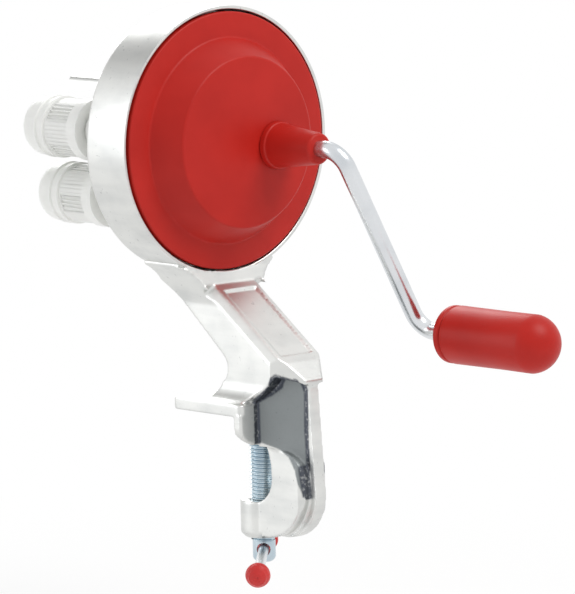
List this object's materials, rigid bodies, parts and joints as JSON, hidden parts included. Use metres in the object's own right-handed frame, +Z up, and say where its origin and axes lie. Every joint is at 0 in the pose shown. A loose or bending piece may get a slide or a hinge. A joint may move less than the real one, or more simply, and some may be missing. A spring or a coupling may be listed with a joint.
{
  "type": "hand cranked pasta roller",
  "caption": "Table-clamped pasta roller: a round gear housing with a red cover and crank, two feed rollers and a cutter at the back, and a screw clamp.",
  "frame": {"origin": "centre of the clamp shelf's underside, the face that rests on the table", "axes": "+Z up, out of the table; +X along the crank's axis, away from the table; +Y to the right when looking along -X at the cover"},
  "size_m": [0.2311, 0.1389, 0.2595],
  "materials": {
    "cast_aluminium": "polished sand casting",
    "red_plastic": "gloss moulded",
    "white_plastic": "milky, softly glossy",
    "plated_steel": "bright plated",
    "blued_steel": "blue zinc plated",
    "gear_plastic": "natural moulded",
    "spring_steel": "oiled"
  },
  "bodies": {
    "frame": {"body_casting": "cast_aluminium", "clamp_casting": "cast_aluminium", "forming_hood": "cast_aluminium", "gear_cover": "red_plastic", "crank_bush": "gear_plastic", "upper_roller_bush": "gear_plastic", "lower_roller_bush": "gear_plastic", "counter_gear_pin": "plated_steel", "counter_gear_clip": "spring_steel"},
    "crank": {"crank_hub": "red_plastic", "crank_rod": "plated_steel", "crank_pinion": "gear_plastic", "blade_rotor": "white_plastic", "rotor_nut": "white_plastic", "grip_washer": "plated_steel"},
    "handle": {"grip": "red_plastic", "grip_plug": "red_plastic"},
    "counter": {"counter_gear": "gear_plastic"},
    "roller_top": {"upper_roller": "white_plastic", "upper_roller_shaft": "plated_steel", "upper_roller_gear": "gear_plastic"},
    "roller_low": {"lower_roller": "white_plastic", "lower_roller_shaft": "plated_steel", "lower_roller_gear": "gear_plastic"},
    "foot": {"clamp_foot": "plated_steel"},
    "screw": {"clamp_screw": "blued_steel"},
    "tommy": {"tommy_bar": "plated_steel", "tommy_knob_far": "red_plastic", "tommy_knob_near": "red_plastic"}
  },
  "joints": [
    {"name": "crank_spin", "type": "hinge", "parent": "frame", "child": "crank", "pos_m": [0, 0.018, 0.1203], "axis": [1, 0, 0], "continuous": true},
    {"name": "grip_spin", "type": "hinge", "parent": "crank", "child": "handle", "pos_m": [0.11, 0.0634, 0.03345], "axis": [1, 0, 0], "continuous": true},
    {"name": "counter_gear_spin", "type": "hinge", "parent": "frame", "child": "counter", "pos_m": [-0.015, -0.0068, 0.09741], "axis": [1, 0, 0], "continuous": true},
    {"name": "lower_roller_spin", "type": "hinge", "parent": "frame", "child": "roller_low", "pos_m": [-0.03, -0.03305, 0.09749], "axis": [1, 0, 0], "continuous": true},
    {"name": "upper_roller_spin", "type": "hinge", "parent": "frame", "child": "roller_top", "pos_m": [-0.03, -0.041, 0.129], "axis": [1, 0, 0], "continuous": true},
    {"name": "clamp_foot_slide", "type": "slide", "parent": "frame", "child": "foot", "axis": [0, 0, 1], "range_m": [-0.02951, 0.00051]},
    {"name": "clamp_screw_turn", "type": "hinge", "parent": "foot", "child": "screw", "pos_m": [0.0132, 0, -0.03], "axis": [0, 0, 1], "range_deg": [-6060, 100]},
    {"name": "tommy_bar_slide", "type": "slide", "parent": "screw", "child": "tommy", "axis": [0.6941, -0.7137, -0.0941], "range_m": [-0.035, 0]}
  ],
  "couplings": [
    {"joint": "counter_gear_spin", "follows": "crank_spin", "ratio": -0.35},
    {"joint": "lower_roller_spin", "follows": "crank_spin", "ratio": 0.21538},
    {"joint": "upper_roller_spin", "follows": "crank_spin", "ratio": -0.21538},
    {"joint": "clamp_foot_slide", "follows": "clamp_screw_turn", "m_per_rad": 0.00027852}
  ]
}
